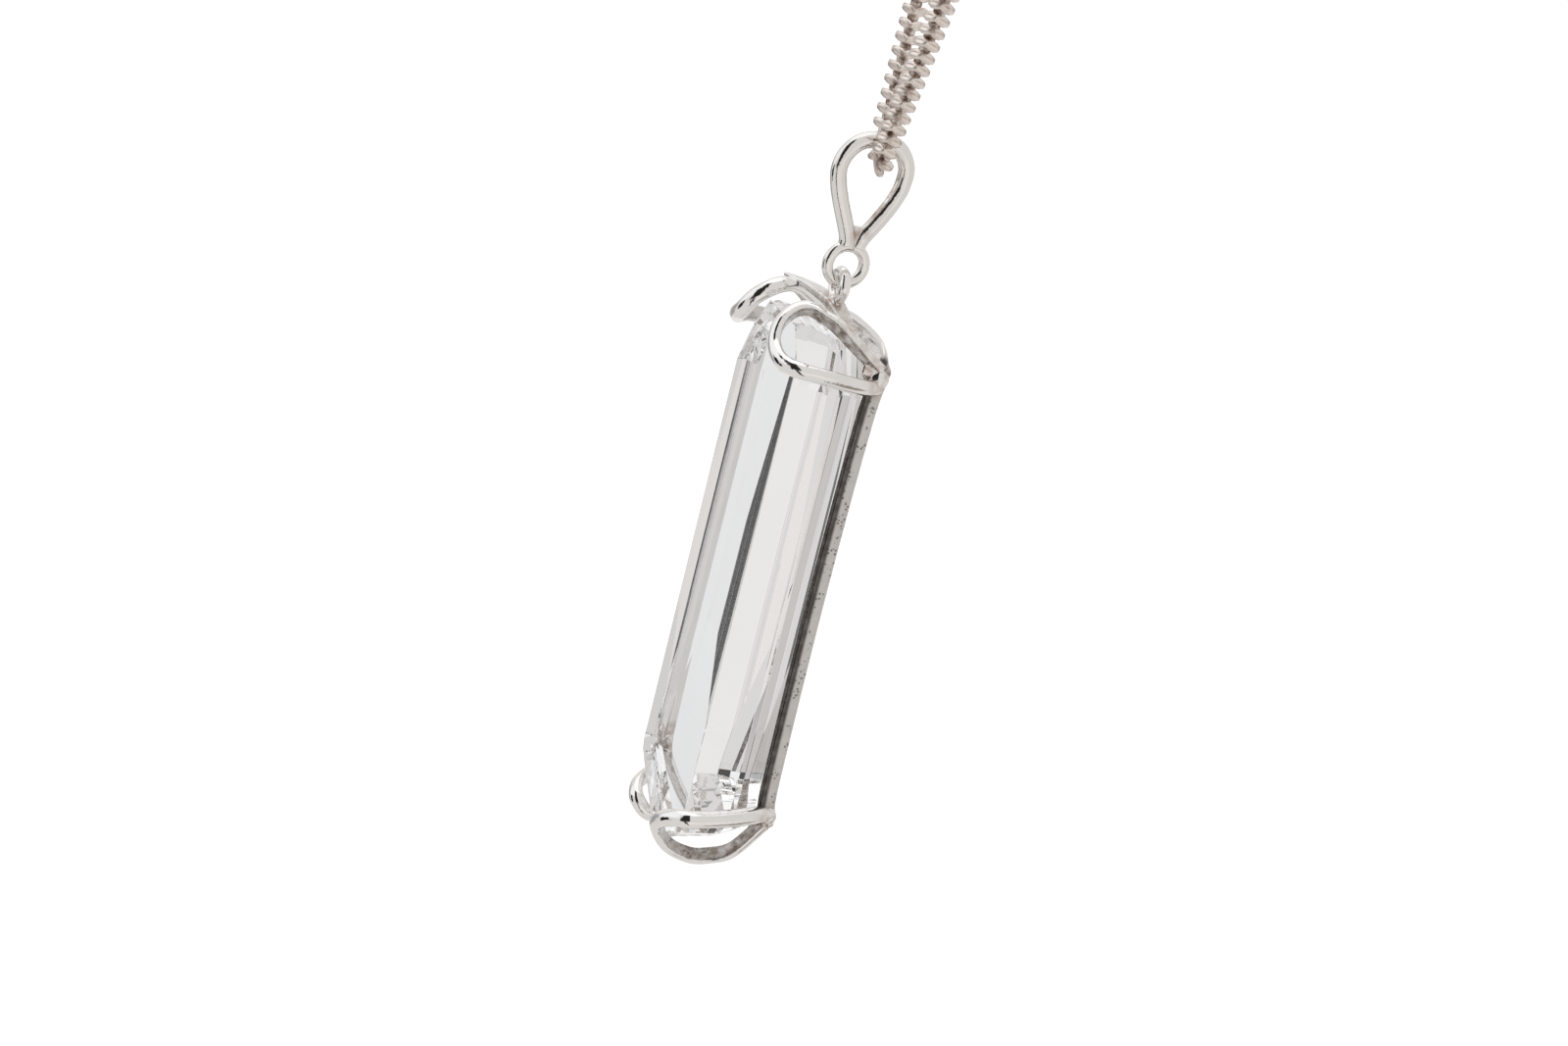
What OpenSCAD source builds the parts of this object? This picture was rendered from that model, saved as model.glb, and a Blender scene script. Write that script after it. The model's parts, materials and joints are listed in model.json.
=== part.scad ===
// Clear quartz pendant: a long corner-cut crystal, table to the front, held in an
// open silver wire setting. It hangs by a figure-eight bail on a loop-in-loop chain.
// Millimetres, +Z up. Origin: under the top of the chain, where it lies on the neck.
// The drop's own frame, used for its tables: X across, Y back from the stone's table,
// Z up from the middle of the stone.

/* [Necklace] */
// Length of the whole chain loop with its clasp
loop_length = 450; // [400:10:600]
// Lean of each strand from the vertical where it leaves the bail, degrees
strand_lean = 33; // [28:1:40]
// Turn of the loop's plane about the vertical, degrees
loop_turn = -18; // [-20:1:0]
// Thickness of the chain
chain_d = 2.1; // [1.9:0.1:2.1]
// Thickness of the barrel clasp
clasp_d = 3.6; // [3.6:0.1:4]
// Length of the barrel clasp
clasp_length = 11; // [9:1:14]

/* [Bail] */
// Thickness of the bail's wire
bail_wire = 1.35; // [1.2:0.05:1.35]
// Middle-line radius of the bail's round top
bail_r = 2.63; // [2.5:0.01:2.8]
// Middle of the bail's round top above the middle of its small ring
bail_rise = 7.72; // [7.7:0.02:7.8]
// Neck between the bail's two rings above the middle of its small ring
neck_rise = 2.05; // [1.95:0.05:2.15]
// Half the spacing of the two legs at the neck
neck_half = 0.5; // [0.4:0.05:0.55]
// Middle-line radius of the small ring
small_ring_r = 1.54; // [1.5:0.01:1.6]
// Thickness of the small ring's wire
small_ring_wire = 0.87; // [0.8:0.01:0.87]

/* [Setting] */
// Thickness of the frame's wire
frame_wire = 1.05; // [0.9:0.05:1.05]
// Width of the prong loops' half-round wire
prong_wire = 1.2; // [1:0.05:1.2]
// Middle-line radius of the ring soldered on top
hang_ring_r = 1.15; // [1.15:0.01:1.3]
// Thickness of that ring's wire
hang_ring_wire = 0.92; // [0.9:0.01:1]
// Height of the middle of that ring
hang_ring_z = 25.5; // [25.4:0.01:25.5]
// Tilt of the drop, which hangs with its weight under the ring, degrees
hang_tilt = 3.4; // [0:0.2:4]

/* [Stone] */
// Half the width of the table
table_half_w = 6.4; // [6:0.1:6.4]
// Height of the table's upper edge
table_top = 22.85; // [22:0.05:22.85]

/* [Hidden] */

// Small play between the chain and what it touches, and between the two linked rings
play = 0.13;
ring_play = 0.05;
// Middle-line radius of the chain's fold round the bail's bar
fold_r = (bail_wire + chain_d) / 2 + play;

// The chain runs round a big arc at the neck and a small one under the bail's bar
top_z = clasp_d / 2;
lean_rad = strand_lean * PI / 180;
neck_r = loop_length / (PI + 2 * lean_rad + 2 / tan(strand_lean));
neck_arc_z = top_z - neck_r;
fold_arc_z = neck_arc_z - (neck_r - fold_r) / sin(strand_lean);

// Middle of the bail's small ring, and the place on it that the drop hangs from
small_ring_z = fold_arc_z - bail_rise - bail_r;
link_z = small_ring_z - small_ring_r;
// The same place in the drop's own frame
link_in_drop = [0, 4.53, hang_ring_z + hang_ring_r - (small_ring_wire + hang_ring_wire) / 2 - ring_play];
// The chain's end lies inside the clasp's cup by this much
cup_depth = 2;
cup_wall = 0.35;
cup_r = clasp_d / 2 - cup_wall;
end_angle = asin((clasp_length / 2 - cup_depth + 2 * play) / neck_r);

ARC_STEPS = 19;
STRAND_STEPS = 13;
FOLD_STEPS = 10;
CHAIN_SIDES = 8;
WIRE_SIDES = 10;
SMOOTHING = 3;
BAR_SMOOTHING = 2;
SLICE = 0.05;

// Outline of the table, clockwise from the far long side
// Columns: across, up
TABLE_OUTLINE = [
  [-table_half_w, 16.5],
  [-4.6, 20.1],
  [-2.4, table_top],
  [4, table_top],
  [table_half_w, 20.2],
  [table_half_w, -18.4],
  [4.2, -21.4],
  [2.2, -22.8],
  [0, -22.8],
  [-4.1, -20.2],
  [-6.1, -18.9],
  [-table_half_w, -18]
];

// Sections of the stone from the table to its back
// Columns: depth, width against the table's, length against the table's
STONE_SECTIONS = [
  [0, 1, 1],
  [0.9, 1.06, 1.012],
  [3.6, 1.09, 0.995],
  [4.1, 1.085, 0.985],
  [6.05, 0.955, 0.91],
  [6.8, 0.7, 0.83]
];

// Near rail and half of each cross wire of the back frame, from the top's middle down
// Columns: across, depth, up
FRAME_ROUTE = [
  [0, 7.15, 20.9],
  [3.5, 7.15, 20.9],
  [6.1, 7.15, 20.9],
  [6.8, 7.15, 20.3],
  [6.75, 7.15, 17.6],
  [6.65, 6.7, 9],
  [6.65, 6.6, 0],
  [6.65, 6.75, -9],
  [6.75, 7.3, -16.3],
  [6.8, 7.4, -17.8],
  [6.1, 7.4, -18.4],
  [3.5, 7.4, -18.4],
  [0, 7.4, -18.4]
];

// Prong loops of the near side: back corner, up the side, over the table, down the end
// Columns: across, depth, up
TOP_PRONG = [
  [6.75, 7.15, 20.1],
  [7.5, 5.2, 20],
  [7.7, 2.8, 20.2],
  [7.35, 0.45, 20.3],
  [6.05, -0.8, 20.4],
  [4.6, -1.15, 21.1],
  [3.6, -0.7, 22.75],
  [3.2, 0.9, 24.05],
  [4.2, 2.6, 23.75],
  [5.7, 4.7, 22.4],
  [6.6, 7, 20.6]
];
BOTTOM_PRONG = [
  [6.75, 7.4, -17.5],
  [7.5, 5.2, -17.85],
  [7.6, 2.9, -18.3],
  [7.3, 0.45, -18.7],
  [5.8, -0.87, -19.35],
  [4, -1.1, -20.9],
  [3.75, 0.25, -22.9],
  [4.4, 2, -23.5],
  [5, 3.6, -23.1],
  [5.9, 5.2, -22],
  [6.6, 7, -18.6]
];

// The far bottom loop reaches forward by this share of the near one's reach
FAR_BOTTOM_REACH = 0.96;

// Middle of each prong loop, which its flat inner face looks at
TOP_HUB = [5.4, 3, 21.9];
BOTTOM_HUB = [5.4, 3, -20.8];

// The bar across the top that the ring is soldered to
// Columns: across, depth, up, width, thickness
TOP_BAR = [
  [5.2, 4.6, 23, 1, 0.5],
  [2.8, 4.5, 23.5, 1.2, 0.55],
  [0, 4.45, 23.95, 1.5, 0.7],
  [-2.6, 3.8, 24.2, 1.3, 0.6],
  [-4.4, 2.7, 24.35, 0.9, 0.45],
  [-5.5, 2, 24.4, 0.4, 0.25]
];

// Section of the half-round prong wire: flat face inwards, in units of half its width
// Columns: inwards, sideways
D_SECTION = [
  [0.45, -0.8],
  [0.45, 0.8],
  [0.2, 1],
  [-0.2, 0.93],
  [-0.52, 0.6],
  [-0.7, 0],
  [-0.52, -0.6],
  [-0.2, -0.93],
  [0.2, -1]
];

function unit(v) = v / norm(v);
function clamp(i, high) = max(0, min(i, high));
function scaled(points, k) = [for (p = points) p * k];
function circle_points(sides, r) = [for (j = [0 : sides - 1]) r * [cos(360 * j / sides), sin(360 * j / sides)]];
function mirrored(points) = [for (p = points) [-p[0], p[1], p[2]]];
function reversed(points) = [for (i = [len(points) - 1 : -1 : 0]) points[i]];

function set_back(rows, reach) = let (back = rows[0][1])
  [for (p = rows) [p[0], back - (back - p[1]) * reach, p[2]]];

// One point of a smooth curve between b and c
function curve_point(a, b, c, d, t) =
  (2 * b + (c - a) * t + (2 * a - 5 * b + 4 * c - d) * t * t + (3 * b - a - 3 * c + d) * t * t * t) / 2;

// A smooth route through the rows of a table
function smooth(rows, steps) = let (last = len(rows) - 1) concat(
  [for (i = [0 : last - 1], k = [0 : steps - 1])
    curve_point(rows[clamp(i - 1, last)], rows[i], rows[i + 1], rows[clamp(i + 2, last)], k / steps)],
  [rows[last]]);

function direction(route, i, closed) = let (n = len(route))
  closed ? unit(route[(i + 1) % n] - route[(i + n - 1) % n])
         : unit(route[clamp(i + 1, n - 1)] - route[clamp(i - 1, n - 1)]);

// The part of v that stands square to the unit vector t
function square_to(v, t) = unit(v - (v * t) * t);

// A ring of section points round point p, where t is the route's direction and n points inwards
function ring_at(p, t, n, section) = let (b = cross(t, n)) [for (q = section) p + q[0] * n + q[1] * b];

// Closed skin over rings of equal length; a closed one has no end faces
module skin(rings, closed = false) {
  m = len(rings[0]);
  count = len(rings);
  spans = closed ? count : count - 1;
  sides = [for (i = [0 : spans - 1], j = [0 : m - 1])
    let (a = i * m + j, d = i * m + (j + 1) % m, up = ((i + 1) % count) * m, b = up + j, c = up + (j + 1) % m)
      each [[a, b, c], [a, c, d]]];
  caps = closed ? [] : [[for (j = [0 : m - 1]) j], [for (j = [m - 1 : -1 : 0]) (count - 1) * m + j]];
  polyhedron(points = [for (ring = rings) each ring], faces = concat(sides, caps), convexity = 8);
}

// Wire of a given section along a route, its first section axis turned to the hub
module wire_to_hub(route, section, hub) {
  skin([for (i = [0 : len(route) - 1])
    let (t = direction(route, i, false)) ring_at(route[i], t, square_to(hub - route[i], t), section)]);
}

module in_drop_place() {
  translate([0, 0, link_z]) rotate([hang_tilt, 0, 0]) translate(-link_in_drop) children();
}

module stone() {
  rings = [for (row = STONE_SECTIONS)
    [for (p = TABLE_OUTLINE) [p[0] * row[1], row[0], p[1] * row[2]]]];
  color([0.9, 0.93, 0.95, 0.5])
    in_drop_place() skin(rings);
}

module prong(rows, hub) {
  wire_to_hub(smooth(rows, SMOOTHING), scaled(D_SECTION, prong_wire / 2), hub);
}

// The closed wire behind the stone, lined up by its middle
module back_frame() {
  near = smooth(FRAME_ROUTE, SMOOTHING);
  inner = [for (i = [1 : len(near) - 2]) near[i]];
  route = concat(near, reversed(mirrored(inner)));
  section = circle_points(WIRE_SIDES, frame_wire / 2);
  skin([for (i = [0 : len(route) - 1])
    let (t = direction(route, i, true)) ring_at(route[i], t, square_to([0, 1, 0], t), section)], closed = true);
}

// One thin slice of the top bar, square to its length
module bar_slice(row, heading) {
  translate([row[0], row[1], row[2]]) rotate([0, 0, heading])
    cube([SLICE, row[3], row[4]], center = true);
}

module top_bar() {
  rows = smooth(TOP_BAR, BAR_SMOOTHING);
  for (i = [0 : len(rows) - 2]) {
    step = rows[i + 1] - rows[i];
    hull() {
      bar_slice(rows[i], atan2(step[1], step[0]));
      bar_slice(rows[i + 1], atan2(step[1], step[0]));
    }
  }
}

module setting() {
  color("silver") in_drop_place() {
    back_frame();
    prong(TOP_PRONG, TOP_HUB);
    prong(BOTTOM_PRONG, BOTTOM_HUB);
    mirror([1, 0, 0]) {
      prong(TOP_PRONG, TOP_HUB);
      prong(set_back(BOTTOM_PRONG, FAR_BOTTOM_REACH), BOTTOM_HUB);
    }
    top_bar();
    translate([0, link_in_drop[1], hang_ring_z]) rotate([90, 0, 0])
      rotate_extrude($fn = 32)
        translate([hang_ring_r, 0]) circle(d = hang_ring_wire, $fn = 16);
  }
}

// Middle of the bail's round top above its neck, the lean of a leg that meets the
// round top without a corner, and that leg's length
round_rise = bail_rise - neck_rise;
leg_lean = asin(bail_r / norm([neck_half, round_rise])) - atan(neck_half / round_rise);
leg_length = sqrt(neck_half * neck_half + round_rise * round_rise - bail_r * bail_r);

// One leg of the bail from the neck up to where the round top takes over
module bail_leg() {
  translate([neck_half, neck_rise]) rotate([0, 0, -leg_lean]) rotate([-90, 0, 0]) {
    cylinder(d = bail_wire, h = leg_length, $fn = 32);
    sphere(d = bail_wire, $fn = 32);
  }
}

// Part of a ring of round wire, lying flat
module wire_ring(radius, wire, angle = 360) {
  rotate_extrude(angle = angle, $fn = 64)
    translate([radius, 0]) circle(d = wire, $fn = 32);
}

module bail() {
  color("silver")
    translate([0, 0, small_ring_z]) rotate([90, 0, 90]) {
      wire_ring(small_ring_r, small_ring_wire);
      bail_leg();
      mirror([1, 0, 0]) bail_leg();
      translate([0, bail_rise])
        rotate([0, 0, -leg_lean]) wire_ring(bail_r, bail_wire, 180 + 2 * leg_lean);
    }
}

// Points of an arc in the loop's plane, round a centre at height z
function arc_points(r, z, from, to, steps) =
  [for (i = [0 : steps]) let (a = from + (to - from) * i / steps) [r * cos(a), 0, z + r * sin(a)]];
function between(a, b, steps) = [for (i = [1 : steps - 1]) a + (b - a) * i / steps];

module chain() {
  neck_arc = arc_points(neck_r, neck_arc_z, 90 - end_angle, -strand_lean, ARC_STEPS);
  fold = arc_points(fold_r, fold_arc_z, -strand_lean, strand_lean - 180, FOLD_STEPS);
  strand = between(neck_arc[ARC_STEPS], fold[0], STRAND_STEPS);
  half = concat(neck_arc, strand);
  route = concat(half, fold, reversed(mirrored(half)));
  section = circle_points(CHAIN_SIDES, chain_d / 2);
  color("silver")
    rotate([0, 0, loop_turn])
      skin([for (i = [0 : len(route) - 1])
        ring_at(route[i], direction(route, i, false), [0, 1, 0], section)]);
}

module clasp() {
  color("silver")
    rotate([0, 0, loop_turn])
      translate([0, 0, top_z]) rotate([0, 90, 0])
        difference() {
          cylinder(d = clasp_d, h = clasp_length, center = true, $fn = 48);
          for (side = [-1, 1])
            translate([0, 0, side * clasp_length / 2])
              cylinder(r = cup_r, h = 2 * cup_depth, center = true, $fn = 48);
        }
}

stone();
setting();
bail();
chain();
clasp();
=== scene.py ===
"""Clear quartz pendant in an open silver wire setting, on a figure-eight bail and a
loop-in-loop chain. The tables are in millimetres. The drop's are in its own frame:
X across, Y back from the stone's table, Z up from the stone's middle."""

import json
import math

import bmesh
import bpy
import numpy as np
from mathutils import Matrix, Vector


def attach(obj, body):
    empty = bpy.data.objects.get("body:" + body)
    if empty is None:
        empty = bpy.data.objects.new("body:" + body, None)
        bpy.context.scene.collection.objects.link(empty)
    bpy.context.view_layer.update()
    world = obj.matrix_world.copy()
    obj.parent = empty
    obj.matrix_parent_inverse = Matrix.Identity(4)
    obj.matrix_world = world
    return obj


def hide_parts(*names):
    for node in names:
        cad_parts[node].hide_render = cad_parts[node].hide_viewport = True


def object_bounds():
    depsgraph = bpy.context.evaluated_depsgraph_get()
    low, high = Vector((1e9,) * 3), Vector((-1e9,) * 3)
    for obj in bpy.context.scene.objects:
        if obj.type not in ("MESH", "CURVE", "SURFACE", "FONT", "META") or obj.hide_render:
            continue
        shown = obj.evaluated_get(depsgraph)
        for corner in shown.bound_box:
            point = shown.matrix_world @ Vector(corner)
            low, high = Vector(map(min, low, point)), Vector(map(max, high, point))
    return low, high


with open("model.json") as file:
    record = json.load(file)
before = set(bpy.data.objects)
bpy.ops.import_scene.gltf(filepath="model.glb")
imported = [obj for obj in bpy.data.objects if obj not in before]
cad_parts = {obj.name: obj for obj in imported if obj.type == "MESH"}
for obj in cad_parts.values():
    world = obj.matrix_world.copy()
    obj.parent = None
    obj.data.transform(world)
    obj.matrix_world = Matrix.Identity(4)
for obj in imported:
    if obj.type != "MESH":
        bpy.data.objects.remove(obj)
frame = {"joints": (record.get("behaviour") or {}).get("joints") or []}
cad_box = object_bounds()

MM = 0.001
pivots = {j["name"]: Vector(j["pos_m"]) for j in frame["joints"]}
LINK = pivots["drop_swing"]

# Sizes of the necklace, the bail and the rings
LOOP_LENGTH = 450.0
STRAND_LEAN = math.radians(33)
LOOP_TURN = math.radians(-18)
CLASP_D = 3.6
CLASP_LENGTH = 11.0
CUP_DEPTH = 2.0
CHAIN_D = 2.1
BAIL_WIRE = 1.35
SMALL_RING_R = 1.54
SMALL_RING_WIRE = 0.87
HANG_RING_R = 1.15
HANG_RING_WIRE = 0.92
HANG_RING_MIDDLE = Vector((0, 4.53, 25.5))
HANG_TILT = math.radians(3.4)
PLAY = 0.13
RING_PLAY = 0.05
FOLD_R = (BAIL_WIRE + CHAIN_D) / 2 + PLAY
LINK_DROP = HANG_RING_R - (SMALL_RING_WIRE + HANG_RING_WIRE) / 2 - RING_PLAY
LINK_IN_DROP = HANG_RING_MIDDLE + Vector((0, 0, LINK_DROP))

drop_place = (
    Matrix.Translation(LINK) @ Matrix.Rotation(HANG_TILT, 4, "X")
    @ Matrix.Scale(MM, 4) @ Matrix.Translation(-LINK_IN_DROP)
)
# The middle of the bail's small ring stands one ring radius above the link
bail_place = Matrix.Translation(LINK + Vector((0, 0, SMALL_RING_R * MM))) @ Matrix.Scale(MM, 4)
loop_place = Matrix.Rotation(LOOP_TURN, 4, "Z") @ Matrix.Scale(MM, 4)

# Camera, as it stands to the drop
AZIMUTH = math.radians(67)
ELEVATION = math.radians(18)
ROLL = math.radians(14.3)
CAMERA_AWAY = 240
CAMERA_ASIDE = 5.75
CAMERA_ABOVE = 4.12


def make_camera():
    flat = math.cos(ELEVATION)
    toward = Vector((math.sin(AZIMUTH) * flat, -math.cos(AZIMUTH) * flat, math.sin(ELEVATION)))
    level = Vector((math.cos(AZIMUTH), math.sin(AZIMUTH), 0))
    upright = toward.cross(level)
    right = math.cos(ROLL) * level + math.sin(ROLL) * upright
    up = -math.sin(ROLL) * level + math.cos(ROLL) * upright
    spot = drop_place @ (CAMERA_AWAY * toward + CAMERA_ASIDE * right + CAMERA_ABOVE * up)
    turn = drop_place.to_3x3().normalized()
    axes = Matrix((turn @ right, turn @ up, turn @ toward))
    data = bpy.data.cameras.new("camera")
    data.lens = 67.5
    data.sensor_width = 36
    data.clip_start = 0.005
    data.clip_end = 50
    camera = bpy.data.objects.new("camera", data)
    camera.matrix_world = Matrix.Translation(spot) @ axes.transposed().to_4x4()
    bpy.context.scene.collection.objects.link(camera)
    bpy.context.scene.camera = camera
    return axes


view_right, view_up, view_toward = (row.copy() for row in make_camera())


# Shader nodes

def add(tree, kind, **settings):
    made = tree.nodes.new(kind)
    for name, value in settings.items():
        setattr(made, name, value)
    return made


def wire(tree, source, target):
    tree.links.new(source, target)


def value_of(tree, target, value):
    """Joins a socket to the target, or sets the target to a plain value."""
    if isinstance(value, bpy.types.NodeSocket):
        wire(tree, value, target)
    else:
        target.default_value = value


def math_node(tree, operation, a, b=0.0, clamp=False):
    made = add(tree, "ShaderNodeMath", operation=operation, use_clamp=clamp)
    value_of(tree, made.inputs[0], a)
    value_of(tree, made.inputs[1], b)
    return made.outputs[0]


def ramp(tree, value, low, high, to_low=0.0, to_high=1.0):
    made = add(tree, "ShaderNodeMapRange", interpolation_type="SMOOTHSTEP")
    value_of(tree, made.inputs["Value"], value)
    for name, x in (("From Min", low), ("From Max", high), ("To Min", to_low), ("To Max", to_high)):
        value_of(tree, made.inputs[name], x)
    return made.outputs["Result"]


def mix_colour(tree, factor, a, b):
    made = add(tree, "ShaderNodeMix", data_type="RGBA")
    value_of(tree, made.inputs["Factor"], factor)
    value_of(tree, made.inputs["A"], a)
    value_of(tree, made.inputs["B"], b)
    return made.outputs["Result"]


def noise(tree, coordinates, scale, detail=2.0):
    made = add(tree, "ShaderNodeTexNoise")
    wire(tree, coordinates, made.inputs["Vector"])
    value_of(tree, made.inputs["Scale"], scale)
    made.inputs["Detail"].default_value = detail
    return made.outputs["Fac"]


def group(name, inputs, outputs):
    """An empty shader node group with named float or colour sockets."""
    tree = bpy.data.node_groups.new(name, "ShaderNodeTree")
    for title, default in inputs:
        kind = "NodeSocketColor" if isinstance(default, tuple) else "NodeSocketFloat"
        tree.interface.new_socket(name=title, in_out="INPUT", socket_type=kind).default_value = default
    for title, kind in outputs:
        tree.interface.new_socket(name=title, in_out="OUTPUT", socket_type="NodeSocket" + kind)
    return tree, tree.nodes.new("NodeGroupInput"), tree.nodes.new("NodeGroupOutput")


def object_point(tree):
    return add(tree, "ShaderNodeTexCoord").outputs["Object"]


# Fineness of the textures, in cells or patches a metre
PIT_CELLS = 3600.0
PIT_PATCHES = 900.0
STAIN_PATCHES = 1400.0
FAINT_PATCHES = 350.0
HANDLING_MARKS = 900.0
# Patches that make the painted shade on the near rail's front edge a little uneven
PAINTED_SHADE_PATCHES = 1500.0
VEIL_PATCHES = 120.0
FLOOR_PATCHES = 3.0

# Flat middle of a pit as a share of its width, and the skin between the pits
PIT_CORE = 0.4
SKIN_FINENESS = 0.8
SKIN_HEIGHT = 0.35

# Silver of the setting and the clasp, of the bail and of the chain, what lies on it, and painted shade
SILVER_TONE = (0.93, 0.915, 0.9, 1.0)
# The bail's silver colour, made darker than the setting's as a painted shade
BAIL_SILVER_AND_SHADE = (0.88, 0.862, 0.84, 1.0)
CHAIN_TONE = (0.95, 0.87, 0.81, 1.0)
BROWN = (0.33, 0.19, 0.11, 1.0)
SETTING_BROWN = (0.31, 0.155, 0.07, 1.0)
CHAIN_BROWN = (0.17, 0.075, 0.04, 1.0)
PIT_BLACK = (0.12, 0.1, 0.09, 1.0)
FLAT_GREY = (0.28, 0.26, 0.25, 1.0)
# Black of the painted shade along the near rail's front edge, where its inner side lies in shade
PAINTED_SHADE_BLACK = (0.085, 0.078, 0.072, 1.0)

# How strongly each changes the colour, and how much it adds to the roughness
PIT_SHADE = 0.75
FLAT_SHADE = 0.36
FLAT_ROUGH = 0.3
STAIN_ROUGH = 0.3

# Height of the handling marks and of the pits in metres, and how strongly each shows
MARKS_RELIEF = (0.0004, 0.15)
PITS_RELIEF = (0.00003, 0.9)

QUARTZ_CLEAR = (0.955, 0.96, 0.962, 1.0)
QUARTZ_VEIL = (0.93, 0.935, 0.94, 1.0)
QUARTZ_IOR = 1.544


def pits_group():
    """Cast pits: sparse dimples with a grainy skin between them, where the mask is 1."""
    tree, ins, outs = group(
        "cast pits", [("Size", PIT_CELLS), ("Share", 0.3), ("Mask", 1.0)],
        [("Pits", "Float"), ("Height", "Float")])
    size, share, mask = ins.outputs["Size"], ins.outputs["Share"], ins.outputs["Mask"]
    point = object_point(tree)
    cells = add(tree, "ShaderNodeTexVoronoi", feature="F1")
    wire(tree, point, cells.inputs["Vector"])
    wire(tree, size, cells.inputs["Scale"])
    where = ramp(tree, noise(tree, point, PIT_PATCHES), low=0.42, high=0.6)
    rim = math_node(tree, "MULTIPLY", share, where)
    core = math_node(tree, "MULTIPLY", rim, PIT_CORE)
    dimple = ramp(tree, cells.outputs["Distance"], core, rim, to_low=1.0, to_high=0.0)
    pits = math_node(tree, "MULTIPLY", dimple, mask)
    skin = noise(tree, point, math_node(tree, "MULTIPLY", size, SKIN_FINENESS), detail=3.0)
    skin = math_node(tree, "MULTIPLY", skin, mask)
    skin = math_node(tree, "MULTIPLY", skin, SKIN_HEIGHT)
    wire(tree, pits, outs.inputs["Pits"])
    wire(tree, math_node(tree, "SUBTRACT", skin, pits), outs.inputs["Height"])
    return tree


def tarnish_group():
    """Brown tarnish that gathers in joints: the mask, broken up by a fine noise."""
    tree, ins, outs = group(
        "tarnish", [("Silver", SILVER_TONE), ("Brown", BROWN), ("Mask", 0.0), ("Strength", 1.0)],
        [("Color", "Color"), ("Amount", "Float")])
    point = object_point(tree)
    broken = ramp(tree, noise(tree, point, STAIN_PATCHES, detail=4.0), low=0.3, high=0.72)
    faint = ramp(tree, noise(tree, point, FAINT_PATCHES), low=0.4, high=0.75, to_high=0.06)
    amount = math_node(tree, "MULTIPLY", ins.outputs["Mask"], broken)
    amount = math_node(tree, "MULTIPLY", amount, ins.outputs["Strength"])
    amount = math_node(tree, "ADD", amount, faint, clamp=True)
    colour = mix_colour(tree, amount, ins.outputs["Silver"], ins.outputs["Brown"])
    wire(tree, colour, outs.inputs["Color"])
    wire(tree, amount, outs.inputs["Amount"])
    return tree


def handling_group():
    """Fine polishing marks and handling: a height and a small change of roughness."""
    tree, ins, outs = group(
        "handling marks", [("Scale", HANDLING_MARKS), ("Roughness", 0.08), ("Spread", 0.06)],
        [("Roughness", "Float"), ("Height", "Float")])
    soft = noise(tree, object_point(tree), ins.outputs["Scale"], detail=3.0)
    spread = math_node(tree, "MULTIPLY", ramp(tree, soft, low=0.35, high=0.7), ins.outputs["Spread"])
    wire(tree, math_node(tree, "ADD", ins.outputs["Roughness"], spread), outs.inputs["Roughness"])
    wire(tree, soft, outs.inputs["Height"])
    return tree


PITS = pits_group()
TARNISH = tarnish_group()
HANDLING = handling_group()


def use(tree, made_group, **values):
    made = add(tree, "ShaderNodeGroup", node_tree=made_group)
    for name, value in values.items():
        value_of(tree, made.inputs[name], value)
    return made


def new_material(name):
    material = bpy.data.materials.new(name)
    material.use_nodes = True
    shader = material.node_tree.nodes["Principled BSDF"]
    return material, material.node_tree, shader


def bump(tree, height, relief, normal=None):
    made = add(tree, "ShaderNodeBump")
    made.inputs["Distance"].default_value, made.inputs["Strength"].default_value = relief
    wire(tree, height, made.inputs["Height"])
    if normal is not None:
        wire(tree, normal, made.inputs["Normal"])
    return made.outputs["Normal"]


def mesh_mask(tree, name):
    return add(tree, "ShaderNodeAttribute", attribute_name=name).outputs["Fac"]


def silver(name, tone, roughness, spread, tarnish, brown, pits=0.0, painted_shade=False):
    """Silver with handling marks, and with tarnish, pits and painted black shade where the mesh's masks
    say.
    """
    material, tree, shader = new_material(name)
    shader.inputs["Metallic"].default_value = 1.0
    marks = use(tree, HANDLING, Scale=HANDLING_MARKS, Roughness=roughness, Spread=spread)
    stain = use(tree, TARNISH, Silver=tone, Brown=brown, Mask=mesh_mask(tree, "joint"), Strength=tarnish)
    colour = stain.outputs["Color"]
    stain_rough = math_node(tree, "MULTIPLY", stain.outputs["Amount"], STAIN_ROUGH)
    rough = math_node(tree, "ADD", marks.outputs["Roughness"], stain_rough)
    normal = bump(tree, marks.outputs["Height"], MARKS_RELIEF)
    if pits:
        flat = mesh_mask(tree, "flat")
        pitted = use(tree, PITS, Size=PIT_CELLS, Share=pits, Mask=flat)
        pit_shade = math_node(tree, "MULTIPLY", pitted.outputs["Pits"], PIT_SHADE)
        colour = mix_colour(tree, math_node(tree, "MULTIPLY", flat, FLAT_SHADE), colour, FLAT_GREY)
        colour = mix_colour(tree, pit_shade, colour, PIT_BLACK)
        rough = math_node(tree, "ADD", rough, math_node(tree, "MULTIPLY", flat, FLAT_ROUGH))
        normal = bump(tree, pitted.outputs["Height"], PITS_RELIEF, normal)
    # Painted shade: black painted where the mesh's mask says, for the shade on the near rail's inner side,
    # a little uneven
    if painted_shade:
        patches = noise(tree, object_point(tree), PAINTED_SHADE_PATCHES, detail=3.0)
        uneven_shade = ramp(tree, patches, low=0.3, high=0.62, to_low=0.93)
        black = math_node(tree, "MULTIPLY", mesh_mask(tree, "painted_shade"), uneven_shade)
        colour = mix_colour(tree, black, colour, PAINTED_SHADE_BLACK)
    wire(tree, colour, shader.inputs["Base Color"])
    wire(tree, rough, shader.inputs["Roughness"])
    wire(tree, normal, shader.inputs["Normal"])
    return material


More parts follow.
